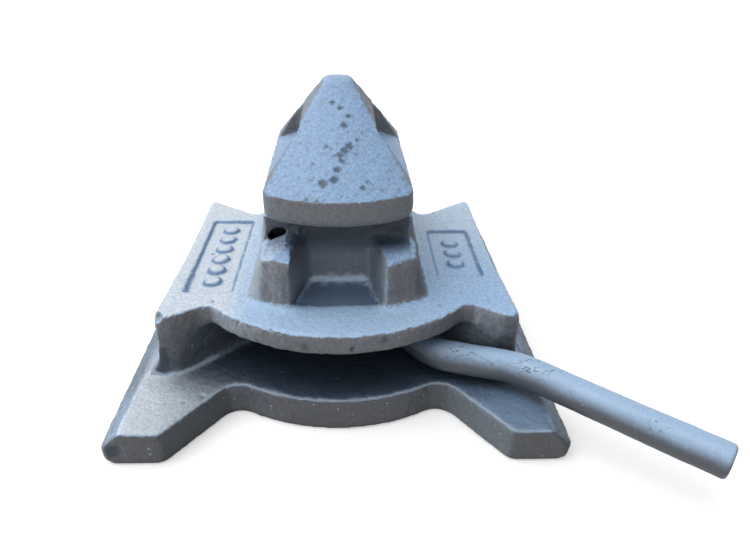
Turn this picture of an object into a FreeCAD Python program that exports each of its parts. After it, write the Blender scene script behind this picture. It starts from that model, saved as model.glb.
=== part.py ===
"""Dovetail container twistlock, millimetres, +Z up.

The origin is on the spindle axis in the plane of the base's underside.  The
base slides along Y into its deck foundation, the handle leaves the housing at
the -Y side, and the head is drawn in line with the collar, which is unlocked.
"""
import FreeCAD, Part
import math
import os

V = FreeCAD.Vector

# ---- heights ---------------------------------------------------------------
BASE_T = 14.5            # base plate thickness
SLOT_H = 18.3            # clear height of the handle slot
PLATE_T = 8.7            # top plate thickness
COLLAR_H = 28.0          # collar above the container seat
LUG_H = 19.4             # lugs at the collar's ends, above the seat
LUG_CREST = 5.0          # crest of the two lugs beside the pin, above the others
HEAD_GAP = 4.1           # collar top to the underside of the head
HEAD_BAND = 10.4         # upright band of the head
HEAD_CONE = 32.9         # sloped part of the head

# ---- base ------------------------------------------------------------------
BASE_HALF_L = 87.2       # half length along the slide
BASE_TOP_HALF_W = 76.5   # half width at the upper face
DOVETAIL_W = 9.0         # how far each dovetail side reaches out
DOVETAIL_DROP = 9.0      # height over which it does so
DOVETAIL_R = 5.0         # lower corner of the dovetail
BASE_DISC_R = 70.9       # round middle of the base's ends
FOOT_IN_X = 61.8         # inner corner of each foot
FOOT_SLOPE = 0.74        # run across per run along of a foot's inner side
BASE_NOTCH_R = 8.0
FOOT_R = 5.5
BASE_EDGE_R = 1.4

# ---- top plate -------------------------------------------------------------
BASE_LEDGE = 9.1         # base's upper face outside the top plate
PLATE_HALF_L = 55.5
PLATE_DISC_R = 67.8      # round flange over the handle slot
PLATE_BACK_R = 55.0      # round back end under the collar
PLATE_NOTCH_X = 46.0     # inner end of the sloped front edges
PLATE_NOTCH_Y = 42.4
PLATE_FACET_W = 5.1      # square bit of front edge at each corner
PLATE_BACK_SLOPE = 0.745
PLATE_NOTCH_R = 5.0
PLATE_EDGE_R = 1.3
FLARE_DRAFT = 1.3        # outward lean of the side walls above their hollow foot
FLARE_EDGE = 0.6         # base's upper face left outside the foot

# ---- handle slot -----------------------------------------------------------
CHAMBER_R = 42.0         # round chamber around the hub
WALL_INSET = 0.3         # walls stand this far inside the plate's edge
STOP_X = 60.9            # corner of the side walls that the handle stops on
STOP_GAP = 0.55          # between that corner and the handle at rest
FRONT_STEP = 1.5         # how far the walls' fronts fall back from there
MOUTH_X = 50.6           # inner end of the walls' sloped fronts
MOUTH_Y = 43.6
SLOT_FILLET = 4.0

# ---- collar ----------------------------------------------------------------
COLLAR_HALF_W = 30.0
COLLAR_END_R = 52.5
COLLAR_DRAFT = 0.6       # sideways lean over the collar's height
COLLAR_CORNER_R = 4.5
COLLAR_FOOT_R = 3.5
BODY_WALL = 6.0          # full-height middle of the collar, around the shaft
POCKET_FRONT_X = 18.3    # pocket between the lugs, at the end
POCKET_BACK_X = 13.2     # and at the middle body
POCKET_LIP_Y = 46.5
POCKET_SINK = 1.6        # pocket floor below the seat
POCKET_R = 5.0
POCKET_COVE_R = 4.5      # hollow foot of the pocket's back wall
LUG_LEAN = 24.0          # outward slope of the lugs beside the pin, degrees
LUG_FALL = 14.0          # and their slope towards the collar's end
LUG_EDGE_R = 1.8

# ---- marking panels --------------------------------------------------------
PANEL_SINK = 1.0
PANEL_L = (-61.6, -37.0, -42.0, 29.0)      # x0, y0, x1, y1
PANEL_R = (41.0, -25.0, 60.5, 18.0)
PIP_R = 3.2
PIP_H = 0.8
PIP_PITCH = 9.4

# ---- spindle ---------------------------------------------------------------
HEAD_HALF_W = 27.5
HEAD_END_R = 48.2
HEAD_TURN = 0.7          # head's small lead over the collar, degrees
APEX_HALF_W = 4.9
APEX_HALF_L = 4.6
APEX_R = 2.0
BAND_R = 4.0             # lower edge of the band
BAND_CORNER_R = 6.0
APEX_CORNER_R = 1.2
SCOOP_CORE = 14.5        # half thickness left between the scoops
SCOOP_HALF_L = 23.0
SCOOP_RISE = 4.5         # scoop floor at the core above its outer edge
SCOOP_R = 5.0
SHAFT_R = 21.0
SHOULDER = 3.5           # shaft to thread, on the radius
JOURNAL_STEP = 2.5       # thread to lower journal
RUN_GAP = 0.05           # radial running clearance
JOURNAL_LIFT = 2.0       # journal end above the base's underside
GROOVE_H = 8.8

# ---- spindle retaining pin -------------------------------------------------
PIN_R = 3.8
PIN_BITE = 1.5           # how far the pin reaches into the shaft's groove
PIN_UNDER_TOP = 9.0      # pin axis below the collar top
PIN_HALF_L = 21.5
PIN_GAP = 0.04
GROOVE_GAP = 0.5

# ---- hub, washers and handle -----------------------------------------------
HUB_R = 30.0
THRUST_T = 2.0
THRUST_R = 29.0
SPRING_H = 2.0
SPRING_T = 1.1
SPRING_R = 27.5
AXIAL_GAP = 0.1
FIT_GAP = 0.04
BAR_R = 6.15
SPIGOT_R = 4.5
SPIGOT_IN = 12.0         # spigot's inner end from the axis
SPOT_FACE = 28.6         # hub flat that the bar's shoulder meets
BAR_DROP = 0.65          # bar axis below the hub's middle
BAR_ANGLE = 35.0         # bar leaves the hub this far from -Y, degrees
BAR_BEND_AT = 65.35      # first bend's corner from the axis
BAR_P2 = (68.2, -62.6, -0.1)    # second bend, height from the bar axis
BAR_P3 = (125.4, -108.1, -1.8)  # outer end
BEND_R1 = 18.0
BEND_R2 = 30.0
BAR_END_R = 1.4
ROLL_R = 2.0
ROLL_AT = 23.4           # roll pin's distance from the axis

# ---- derived heights -------------------------------------------------------
Z_SLOT = BASE_T
Z_FLANGE = BASE_T + SLOT_H
Z_SEAT = Z_FLANGE + PLATE_T
Z_COLLAR = Z_SEAT + COLLAR_H
Z_HEAD = Z_COLLAR + HEAD_GAP
Z_BAND = Z_HEAD + HEAD_BAND
Z_APEX = Z_BAND + HEAD_CONE
Z_PIN = Z_COLLAR - PIN_UNDER_TOP
Z_HUB = Z_SLOT + SPRING_H + AXIAL_GAP
Z_HUB_TOP = Z_FLANGE - THRUST_T - AXIAL_GAP
BAR_Z = (Z_HUB + Z_HUB_TOP) / 2 - BAR_DROP

# ---- derived plan sizes ----------------------------------------------------
PLATE_HALF_W = BASE_TOP_HALF_W - BASE_LEDGE
THREAD_R = SHAFT_R - SHOULDER
JOURNAL_R = THREAD_R - JOURNAL_STEP
BODY_HALF_L = SHAFT_R + BODY_WALL
PIN_X = -(SHAFT_R - PIN_BITE + PIN_R)
bar_dir = V(math.sin(math.radians(BAR_ANGLE)),
            -math.cos(math.radians(BAR_ANGLE)), 0)
bend_at = bar_dir * BAR_BEND_AT
run_slope = (BAR_P2[1] - bend_at.y) / (BAR_P2[0] - bend_at.x)
STOP_Y = -(bend_at.y + run_slope * (STOP_X - bend_at.x) +
           (BAR_R + STOP_GAP) * math.hypot(1, run_slope))


def prism(points, z0, z1):
    """Upright prism on a closed plan outline."""
    wire = Part.makePolygon([V(x, y, z0) for x, y in points] +
                            [V(points[0][0], points[0][1], z0)])
    return Part.Face(wire).extrude(V(0, 0, z1 - z0))


def both_sides(points):
    """Right-hand outline from front to back, closed by its mirror image."""
    return points + [(-x, y) for x, y in reversed(points)]


def disc(radius, z0, z1):
    return Part.makeCylinder(radius, z1 - z0, V(0, 0, z0))


def box(x0, y0, z0, x1, y1, z1):
    return Part.makeBox(x1 - x0, y1 - y0, z1 - z0, V(x0, y0, z0))


def upright_edges(shape, spots, reach=1.0):
    """Upright edges that stand within reach of the given plan points."""
    found = []
    for edge in shape.Edges:
        a, b = edge.Vertexes[0].Point, edge.Vertexes[-1].Point
        if abs(a.z - b.z) < 1.0 or math.hypot(a.x - b.x, a.y - b.y) > 0.01:
            continue
        if any(math.hypot(a.x - x, a.y - y) < reach for x, y in spots):
            found.append(edge)
    return found


def level_edges(shape, z, test=None):
    """Edges that lie in one level plane."""
    found = []
    for edge in shape.Edges:
        bb = edge.BoundBox
        if abs(bb.ZMin - z) > 1e-4 or abs(bb.ZMax - z) > 1e-4:
            continue
        if test is None or test(edge.BoundBox):
            found.append(edge)
    return found


def meet_circle(x0, y0, dx, dy, radius):
    """First point where a line from outside meets a circle on the axis."""
    n = math.hypot(dx, dy)
    dx, dy = dx / n, dy / n
    b = x0 * dx + y0 * dy
    c = x0 * x0 + y0 * y0 - radius * radius
    t = -b - math.sqrt(b * b - c)
    return x0 + dx * t, y0 + dy * t


def corners(x, y):
    return [(x, y), (-x, y)]


def ring(r_in, r_out, z0, z1):
    return disc(r_out, z0, z1).cut(disc(r_in, z0 - 1, z1 + 1))


# ---- housing: base plate ---------------------------------------------------
half_w = BASE_TOP_HALF_W + DOVETAIL_W
z_wide = BASE_T - DOVETAIL_DROP
section = [(BASE_TOP_HALF_W, BASE_T), (half_w, z_wide), (half_w, 0),
           (-half_w, 0), (-half_w, z_wide), (-BASE_TOP_HALF_W, BASE_T)]
wire = Part.makePolygon([V(x, -BASE_HALF_L - 5, z) for x, z in section] +
                        [V(section[0][0], -BASE_HALF_L - 5, section[0][1])])
base = Part.Face(wire).extrude(V(0, 2 * BASE_HALF_L + 10, 0))
rail_edges, shoulder_edges = [], []
for edge in base.Edges:
    bb = edge.BoundBox
    if bb.YLength > 2 * BASE_HALF_L:
        if abs(bb.ZMin) < 1e-4:
            rail_edges.append(edge)
        elif abs(bb.ZMin - z_wide) < 1e-4:
            shoulder_edges.append(edge)
base = base.makeFillet(DOVETAIL_R - 0.2, rail_edges)

foot_far = FOOT_IN_X + FOOT_SLOPE * 10
foot_near_y = BASE_DISC_R * 0.7
foot_near = FOOT_IN_X - FOOT_SLOPE * (BASE_HALF_L - foot_near_y)
plan = box(-half_w, -BASE_HALF_L, -5, half_w, BASE_HALF_L, BASE_T + 5)
recess = prism(both_sides([(foot_far, -BASE_HALF_L - 10),
                           (foot_near, -foot_near_y)]), -6, BASE_T + 6)
plan = plan.cut([recess, recess.mirror(V(0, 0, 0), V(0, 1, 0))])
plan = plan.fuse(disc(BASE_DISC_R, -5, BASE_T + 5)).removeSplitter()
notch = meet_circle(FOOT_IN_X, -BASE_HALF_L, -FOOT_SLOPE, 1, BASE_DISC_R)
notch_spots = corners(*notch) + corners(notch[0], -notch[1])
plan = plan.makeFillet(BASE_NOTCH_R, upright_edges(plan, notch_spots))
foot_spots = (corners(FOOT_IN_X, -BASE_HALF_L) + corners(FOOT_IN_X, BASE_HALF_L)
              + corners(half_w, -BASE_HALF_L) + corners(half_w, BASE_HALF_L))
plan = plan.makeFillet(FOOT_R, upright_edges(plan, foot_spots))
base = base.common(plan).removeSplitter()
base = base.makeFillet(BASE_EDGE_R, level_edges(base, BASE_T))

# ---- housing: top plate ----------------------------------------------------
facet_x = PLATE_HALF_W - PLATE_FACET_W
facet_y = PLATE_HALF_L - 0.8
back_in_x = PLATE_NOTCH_X - 10
back_in_y = PLATE_HALF_L - PLATE_BACK_SLOPE * (PLATE_HALF_W - back_in_x)


def plate_outline(inset):
    return both_sides([(PLATE_HALF_W - inset, -PLATE_HALF_L + inset),
                       (facet_x - inset * 0.4, -facet_y + inset),
                       (PLATE_NOTCH_X, -PLATE_NOTCH_Y + inset)][::-1] +
                      [(PLATE_HALF_W - inset, PLATE_HALF_L - inset),
                       (back_in_x, back_in_y - inset)])


disc_side = PLATE_HALF_W - PLATE_FACET_W
front_half = box(-disc_side, -100, 0, disc_side, -10, 60)
back_half = box(-disc_side, 10, 0, disc_side, 100, 60)
plate = prism(plate_outline(0), Z_FLANGE, Z_SEAT)
plate = plate.fuse([disc(PLATE_DISC_R, Z_FLANGE, Z_SEAT).common(front_half),
                    disc(PLATE_BACK_R, Z_FLANGE, Z_SEAT).common(back_half)])
plate = plate.removeSplitter()
front_notch = meet_circle(facet_x, -facet_y, PLATE_NOTCH_X - facet_x,
                          facet_y - PLATE_NOTCH_Y, PLATE_DISC_R)
back_notch = meet_circle(PLATE_HALF_W, PLATE_HALF_L, -1, -PLATE_BACK_SLOPE,
                         PLATE_BACK_R)
plate = plate.makeFillet(PLATE_NOTCH_R, upright_edges(
    plate, corners(*front_notch) + corners(*back_notch)))
plate = plate.makeFillet(2.2, upright_edges(
    plate, corners(PLATE_HALF_W, -PLATE_HALF_L) +
    corners(PLATE_HALF_W, PLATE_HALF_L)))
plate = plate.makeFillet(1.5, upright_edges(plate, corners(facet_x, -facet_y)))
plate = plate.makeFillet(PLATE_EDGE_R, level_edges(plate, Z_SEAT))

# ---- housing: walls around the handle slot ---------------------------------
walls = prism(plate_outline(WALL_INSET), BASE_T - 3, Z_FLANGE + 3)
walls = walls.fuse(disc(PLATE_BACK_R - 1, BASE_T - 3, Z_FLANGE + 3)
                   .common(back_half)).removeSplitter()
inner = math.radians(40)
chamber = (CHAMBER_R * math.cos(inner), -CHAMBER_R * math.sin(inner))
slot = prism(both_sides([(120, -120), (120, -STOP_Y - FRONT_STEP),
                         (STOP_X + 10, -STOP_Y - FRONT_STEP), (STOP_X, -STOP_Y),
                         (MOUTH_X, -MOUTH_Y), chamber]), Z_SLOT, Z_FLANGE)
slot = slot.fuse(disc(CHAMBER_R, Z_SLOT, Z_FLANGE)).removeSplitter()
slot = slot.makeFillet(6.0, upright_edges(slot, corners(*chamber)))
slot = slot.makeFillet(2.0, upright_edges(
    slot, corners(STOP_X, -STOP_Y) +
    corners(STOP_X + 10, -STOP_Y - FRONT_STEP)))
slot = slot.makeFillet(SLOT_FILLET, [
    e for e in level_edges(slot, Z_SLOT) + level_edges(slot, Z_FLANGE)
    if e.BoundBox.YMin > -STOP_Y - 2])
walls = walls.cut(slot)

# ---- housing: concave feet along the walls' outer faces --------------------
wall_x = PLATE_HALF_W - WALL_INSET
flare_x = BASE_TOP_HALF_W - FLARE_EDGE
flare_r = flare_x - wall_x - FLARE_DRAFT
flare_front = -STOP_Y - FRONT_STEP * 0.4
flare_l = PLATE_HALF_L - WALL_INSET - flare_front
section = [(wall_x - 1, BASE_T - 1), (flare_x, BASE_T - 1),
           (flare_x, BASE_T + flare_r), (flare_x - flare_r, BASE_T + flare_r),
           (wall_x, Z_FLANGE), (wall_x - 1, Z_FLANGE), (wall_x - 1, BASE_T - 1)]
flare = Part.Face(Part.makePolygon([V(x, flare_front, z) for x, z in section])
                  ).extrude(V(0, flare_l, 0))
flare = flare.cut(Part.makeCylinder(
    flare_r, flare_l + 10, V(flare_x, flare_front - 5, BASE_T + flare_r),
    V(0, 1, 0)))
flares = [flare, flare.mirror(V(0, 0, 0), V(1, 0, 0))]

# ---- housing: collar -------------------------------------------------------


lower = COLLAR_HALF_W + COLLAR_DRAFT
upper = COLLAR_HALF_W - COLLAR_DRAFT
wire = Part.makePolygon([V(-lower, -70, Z_SEAT - 2), V(lower, -70, Z_SEAT - 2),
                         V(upper, -70, Z_COLLAR), V(-upper, -70, Z_COLLAR),
                         V(-lower, -70, Z_SEAT - 2)])
collar = Part.Face(wire).extrude(V(0, 140, 0)).common(
    Part.makeCone(COLLAR_END_R + COLLAR_DRAFT, COLLAR_END_R - COLLAR_DRAFT,
                  COLLAR_H + 2, V(0, 0, Z_SEAT - 2)))
collar = collar.makeFillet(COLLAR_CORNER_R, [
    e for e in collar.Edges
    if e.BoundBox.ZLength > 20 and abs(e.BoundBox.Center.y) > 20])
housing = base
for piece in [walls, plate] + flares:
    housing = housing.fuse(piece)
housing = housing.fuse(collar).removeSplitter()
foot_loop = [e for e in level_edges(housing, Z_SEAT)
             if e.BoundBox.XMax < COLLAR_HALF_W + 2
             and e.BoundBox.XMin > -COLLAR_HALF_W - 2
             and abs(e.BoundBox.YMin) < COLLAR_END_R + 1
             and abs(e.BoundBox.YMax) < COLLAR_END_R + 1]
housing = housing.makeFillet(COLLAR_FOOT_R, foot_loop)

# pockets between the lugs, one at each end of the collar
z_lug = Z_SEAT + LUG_H
pocket = prism([(-POCKET_FRONT_X - 1, -COLLAR_END_R - 6),
                (POCKET_FRONT_X + 1, -COLLAR_END_R - 6),
                (POCKET_BACK_X, -BODY_HALF_L), (-POCKET_BACK_X, -BODY_HALF_L)],
               Z_SEAT, Z_COLLAR + 5)
pocket = pocket.makeFillet(POCKET_R, upright_edges(
    pocket, corners(POCKET_BACK_X, -BODY_HALF_L)))
floor = prism([(-POCKET_FRONT_X, -POCKET_LIP_Y), (POCKET_FRONT_X, -POCKET_LIP_Y),
               (POCKET_BACK_X, -BODY_HALF_L), (-POCKET_BACK_X, -BODY_HALF_L)],
              Z_SEAT - POCKET_SINK, Z_SEAT + 3)
floor = floor.makeFillet(POCKET_R, upright_edges(
    floor, corners(POCKET_BACK_X, -BODY_HALF_L)))
floor = floor.makeFillet(POCKET_SINK * 0.75,
                         level_edges(floor, Z_SEAT - POCKET_SINK))
over_lugs = box(0, -COLLAR_END_R - 6, z_lug, 50, -BODY_HALF_L, Z_COLLAR + 5)

# the lugs beside the retaining pin slope outwards and to the collar's end
outward = box(-50, -COLLAR_END_R - 6, 0, 0, -BODY_HALF_L, 30)
outward.rotate(V(0, 0, 0), V(0, 1, 0), -LUG_LEAN)
outward.translate(V(-POCKET_BACK_X, 0, z_lug + LUG_CREST))
endward = box(-50, -50, 0, -1, 0, 30)
endward.rotate(V(0, 0, 0), V(1, 0, 0), LUG_FALL)
endward.translate(V(0, -BODY_HALF_L, z_lug + LUG_CREST))
beyond_body = box(-50, -COLLAR_END_R - 6, 0, 0, -BODY_HALF_L, 100)
flip = [over_lugs, outward.common(beyond_body), endward.common(beyond_body),
        pocket, floor]
housing = housing.cut(flip + [t.mirror(V(0, 0, 0), V(0, 1, 0)) for t in flip])
cove_y, cove_z = -BODY_HALF_L - POCKET_COVE_R, Z_SEAT - POCKET_SINK + POCKET_COVE_R
cove = box(-POCKET_BACK_X, cove_y, cove_z - POCKET_COVE_R - 0.5,
           POCKET_BACK_X, -BODY_HALF_L + 0.5, cove_z)
cove = cove.cut(Part.makeCylinder(POCKET_COVE_R, 60, V(-30, cove_y, cove_z),
                                  V(1, 0, 0)))
housing = housing.fuse(cove).fuse(cove.mirror(V(0, 0, 0), V(0, 1, 0)))
housing = housing.removeSplitter()
lug_ends = [e for e in level_edges(housing, z_lug)
            if abs(e.BoundBox.Center.y) > POCKET_LIP_Y - 2
            and e.BoundBox.XLength > LUG_EDGE_R]
housing = housing.makeFillet(LUG_EDGE_R, lug_ends)

# bores: spindle shaft, lower journal and the pin, driven in from the back
housing = housing.cut([
    disc(SHAFT_R + RUN_GAP, Z_FLANGE - 1, Z_COLLAR + 1),
    disc(JOURNAL_R + RUN_GAP, -1, BASE_T + 1),
    Part.makeCylinder(PIN_R + PIN_GAP, 80, V(PIN_X, -BODY_HALF_L, Z_PIN),
                      V(0, 1, 0))])

# sunken marking panels with plain round pips
for x0, y0, x1, y1, pips in (PANEL_L + (6,), PANEL_R + (3,)):
    panel = box(x0, y0, Z_SEAT - PANEL_SINK, x1, y1, Z_SEAT + 1)
    panel = panel.makeFillet(1.0, upright_edges(
        panel, [(x0, y0), (x0, y1), (x1, y0), (x1, y1)]))
    housing = housing.cut(panel)
    mid_x, mid_y = (x0 + x1) / 2, (y0 + y1) / 2
    for i in range(pips):
        y = mid_y + (i - (pips - 1) / 2) * PIP_PITCH
        pip = Part.makeCylinder(PIP_R, PIP_H + 1,
                                V(mid_x, y, Z_SEAT - PANEL_SINK - 1))
        housing = housing.fuse(pip)
housing = housing.removeSplitter()

# ---- spindle: head ---------------------------------------------------------


def head_wire(half_w, half_l, end_r, z):
    """Two straight flanks joined by two round ends."""
    y = half_l - (end_r - math.sqrt(end_r ** 2 - half_w ** 2))
    a, b = V(half_w, -y, z), V(half_w, y, z)
    c, d = V(-half_w, y, z), V(-half_w, -y, z)
    return Part.Wire([Part.makeLine(a, b),
                      Part.Arc(b, V(0, half_l, z), c).toShape(),
                      Part.makeLine(c, d),
                      Part.Arc(d, V(0, -half_l, z), a).toShape()])


def rounded_wire(half_w, half_l, corner_r, z):
    """The same outline with its four corners rounded."""
    blank = Part.Face(head_wire(half_w, half_l, HEAD_END_R, z)
                      ).extrude(V(0, 0, 1))
    blank = blank.makeFillet(corner_r, [
        e for e in blank.Edges if e.BoundBox.ZLength > 0.9])
    face = min(blank.Faces, key=lambda f: f.BoundBox.ZMax)
    return face.OuterWire


low = rounded_wire(HEAD_HALF_W, HEAD_END_R, BAND_CORNER_R, Z_BAND)
top = rounded_wire(APEX_HALF_W, APEX_HALF_L, APEX_CORNER_R, Z_APEX)
cone = Part.makeLoft([low, top], True, True)
cone = cone.makeFillet(APEX_R, level_edges(cone, Z_APEX))
band = Part.Face(rounded_wire(HEAD_HALF_W, HEAD_END_R, BAND_CORNER_R, Z_HEAD)
                 ).extrude(V(0, 0, HEAD_BAND))
band = band.makeFillet(BAND_R, level_edges(band, Z_HEAD))
head = band.fuse(cone).removeSplitter()
scoop_section = [(SCOOP_CORE, Z_BAND + 0.3 + SCOOP_RISE),
                 (HEAD_HALF_W + 1, Z_BAND + 0.3), (HEAD_HALF_W + 20, Z_BAND + 0.3),
                 (HEAD_HALF_W + 20, Z_APEX), (SCOOP_CORE, Z_APEX)]
wire = Part.makePolygon([V(x, -SCOOP_HALF_L, z) for x, z in scoop_section] +
                        [V(scoop_section[0][0], -SCOOP_HALF_L,
                           scoop_section[0][1])])
scoop = Part.Face(wire).extrude(V(0, 2 * SCOOP_HALF_L, 0))
scoop = scoop.makeFillet(SCOOP_R, [
    e for e in scoop.Edges
    if abs(e.BoundBox.XMin - SCOOP_CORE) < 0.01
    and e.BoundBox.XMax < SCOOP_CORE + 0.01 and e.BoundBox.ZLength > 5])
scoops = [scoop, scoop.mirror(V(0, 0, 0), V(1, 0, 0))]
head = head.cut(scoops)
head.rotate(V(0, 0, 0), V(0, 0, 1), HEAD_TURN)

# ---- spindle: shaft --------------------------------------------------------
shaft = disc(SHAFT_R, Z_HUB_TOP, Z_HEAD + 1)
shaft = shaft.cut(ring(SHAFT_R - (SHAFT_R + PIN_X + PIN_R) - GROOVE_GAP,
                       SHAFT_R + 5, Z_PIN - GROOVE_H / 2, Z_PIN + GROOVE_H / 2))
spindle = head.fuse([shaft, disc(THREAD_R, Z_HUB, Z_HUB_TOP + 1),
                     disc(JOURNAL_R, JOURNAL_LIFT, Z_HUB + 1)])
spindle = spindle.removeSplitter()

# ---- handle hub ------------------------------------------------------------
hub = ring(THREAD_R + FIT_GAP, HUB_R, Z_HUB, Z_HUB_TOP)
hub = hub.makeFillet(1.0, [e for e in level_edges(hub, Z_HUB) +
                           level_edges(hub, Z_HUB_TOP)
                           if e.BoundBox.XLength > 2 * HUB_R - 1])
spot = Part.makeBox(20, 80, 60, V(SPOT_FACE, -40, -10))
spot.rotate(V(0, 0, 0), V(0, 0, 1), BAR_ANGLE - 90)
hole = Part.makeCylinder(SPIGOT_R + FIT_GAP, HUB_R - SPIGOT_IN + 5,
                         bar_dir * (SPIGOT_IN - 0.5) + V(0, 0, BAR_Z), bar_dir)
roll_at = bar_dir * ROLL_AT
roll_hole = Part.makeCylinder(ROLL_R + FIT_GAP, 60, roll_at)
hub = hub.cut([spot, hole, roll_hole])
spindle = spindle.cut(hole)

# ---- handle: bar with two bends and a turned spigot ------------------------


def bend(a, b, c, radius):
    """Tangent arc of a given radius at corner b of the run a-b-c."""
    u, w = (a - b).normalize(), (c - b).normalize()
    half = u.getAngle(w) / 2
    reach = radius / math.tan(half)
    mid = (u + w).normalize()
    centre = b + mid * (radius / math.sin(half))
    return b + u * reach, centre - mid * radius, b + w * reach


p0 = bar_dir * SPOT_FACE + V(0, 0, BAR_Z)
p1 = bar_dir * BAR_BEND_AT + V(0, 0, BAR_Z)
p2, p3 = V(*BAR_P2) + V(0, 0, BAR_Z), V(*BAR_P3) + V(0, 0, BAR_Z)
a1, m1, b1 = bend(p0, p1, p2, BEND_R1)
a2, m2, b2 = bend(p1, p2, p3, BEND_R2)
path = Part.Wire([Part.makeLine(p0, a1), Part.Arc(a1, m1, b1).toShape(),
                  Part.makeLine(b1, a2), Part.Arc(a2, m2, b2).toShape(),
                  Part.makeLine(b2, p3)])
circle = Part.Wire(Part.makeCircle(BAR_R, p0, (p1 - p0).normalize()))
bar = path.makePipeShell([circle], True, True)
end_edges = [e for e in bar.Edges if e.BoundBox.Center.distanceToPoint(p3) < 1]
bar = bar.makeFillet(BAR_END_R, end_edges)
spigot = Part.makeCylinder(SPIGOT_R, SPOT_FACE - SPIGOT_IN + 1,
                           bar_dir * SPIGOT_IN + V(0, 0, BAR_Z), bar_dir)
handle = bar.fuse(spigot).removeSplitter().cut(roll_hole)

# ---- small pieces ----------------------------------------------------------
roll = Part.makeCylinder(ROLL_R, Z_HUB_TOP - Z_HUB - 1.0,
                         roll_at + V(0, 0, Z_HUB + 0.5))
roll = roll.cut(Part.makeCylinder(ROLL_R - 0.8, 60, roll_at))
slit = Part.makeBox(0.7, ROLL_R + 1, 60, roll_at + V(-0.35, 0, 0))
roll = roll.cut(slit)

thrust = ring(SHAFT_R + 0.3, THRUST_R, Z_FLANGE - THRUST_T, Z_FLANGE)
thrust = thrust.makeFillet(0.4, [e for e in level_edges(thrust, Z_FLANGE - THRUST_T)
                                 if e.BoundBox.XLength > 2 * THRUST_R - 1])

spring_in = JOURNAL_R + 3.2
profile = [V(SPRING_R, 0, Z_SLOT), V(SPRING_R, 0, Z_SLOT + SPRING_T),
           V(spring_in, 0, Z_SLOT + SPRING_H),
           V(spring_in, 0, Z_SLOT + SPRING_H - SPRING_T), V(SPRING_R, 0, Z_SLOT)]
spring = Part.Face(Part.makePolygon(profile)).revolve(V(0, 0, 0), V(0, 0, 1), 360)

pin = Part.makeCylinder(PIN_R, 2 * PIN_HALF_L, V(PIN_X, -PIN_HALF_L, Z_PIN),
                        V(0, 1, 0))
pin = pin.makeChamfer(0.6, [e for e in pin.Edges if e.BoundBox.YLength < 0.01])

parts = {"housing": housing, "cone_spindle": spindle, "handle_hub": hub,
         "handle": handle, "handle_roll_pin": roll, "thrust_washer": thrust,
         "disc_spring": spring, "spindle_retaining_pin": pin}

os.makedirs("parts", exist_ok=True)
for name, shape in parts.items():
    if shape.ShapeType == "Compound" and len(shape.Solids) == 1:
        shape = shape.Solids[0]
    shape.exportStep("parts/" + name + ".step")
    print(name, shape.isValid(), len(shape.Solids), round(shape.Volume / 1000, 2))
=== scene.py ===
"""Container twistlock: rough sprayed steel casting, forged cone and bent bar handle.

Metres, +Z up, origin on the spindle axis in the plane of the base's underside.
"""
import math

import bmesh
import bpy
from mathutils import Matrix, Vector, noise


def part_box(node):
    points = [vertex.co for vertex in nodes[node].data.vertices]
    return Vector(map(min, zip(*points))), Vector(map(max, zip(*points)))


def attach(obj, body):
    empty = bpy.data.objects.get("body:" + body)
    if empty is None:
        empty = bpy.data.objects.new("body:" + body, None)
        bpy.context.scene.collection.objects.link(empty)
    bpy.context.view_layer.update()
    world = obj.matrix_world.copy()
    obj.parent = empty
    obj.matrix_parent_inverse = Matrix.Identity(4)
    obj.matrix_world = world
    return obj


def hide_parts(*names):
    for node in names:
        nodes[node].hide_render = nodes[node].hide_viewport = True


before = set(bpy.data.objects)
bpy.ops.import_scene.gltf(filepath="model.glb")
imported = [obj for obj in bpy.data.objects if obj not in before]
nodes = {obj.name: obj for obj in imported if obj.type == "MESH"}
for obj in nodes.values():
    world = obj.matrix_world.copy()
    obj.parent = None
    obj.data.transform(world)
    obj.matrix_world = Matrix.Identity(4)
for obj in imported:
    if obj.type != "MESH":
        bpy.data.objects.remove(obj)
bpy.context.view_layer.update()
scene = bpy.context.scene

# ---- Housing -----------------------------------------------------------------
# One steel sand casting: dovetail base, walls round the handle slot, top plate
# and collar. Its skin is lumpy and pitted, edges are soft and a little chipped,
# and the whole lock got one thin coat of silver paint after assembly.
MM = 0.001
SKIN_VOXEL = 0.68 * MM
HOUSING_TRIANGLES = 195000
LUMP_SIZE = 7 * MM
LUMP_HEIGHT = 0.22 * MM
SAND_SIZE = 2.2 * MM
SAND_HEIGHT = 0.16 * MM
CRUST_SIZE = 2.6 * MM
LUG_CRUST = 0.3 * MM
RIM_CRUST = 0.25 * MM
BORE_R = 21.3 * MM
BORE_FROM = 30 * MM
JOURNAL_BORE_R = 15.3 * MM
JOURNAL_TO = 16 * MM
FLANGE_R = 67.8 * MM
COLLAR_HEIGHT = 28 * MM
# Limits of the zones in which edges are rounded off.
BORE_EDGE_R = 24 * MM
COLLAR_INNER_R = 24.5 * MM
COLLAR_HALF_WIDTH = 36 * MM
COLLAR_REACH = 62 * MM
NEAR_SEAT = 2.5 * MM
TOP_EDGE = 1.2 * MM
LUG_START = 29 * MM
LUG_INNER = 10 * MM
LUG_FRONT = 34 * MM
LUG_TOP_FROM = 12 * MM
RIM_REACH = 1.6 * MM
CHAMBER_HALF_WIDTH = 30 * MM
CHAMBER_HALF_LENGTH = 52 * MM
UNDERSIDE = 0.5 * MM
# In mm: spread of the flanks and front corners, the pin's bore, and the panels as
# west, south, east and north edge.
FLANK_HEIGHT = 26
FOOT_SPREAD = 3.8
CORNER_SPREAD = 1.7
PIN_BORE_X = -23.3
PIN_BORE_DROP = 9.0
PIN_EDGE = 6
PANELS = ((-61.6, -37.0, -42.0, 29.0), (41.0, -25.0, 60.5, 18.0))
PANEL_SINK = 1.0
PANEL_DEEPER = 0.35
MARK_STRETCH = 1.7
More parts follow.
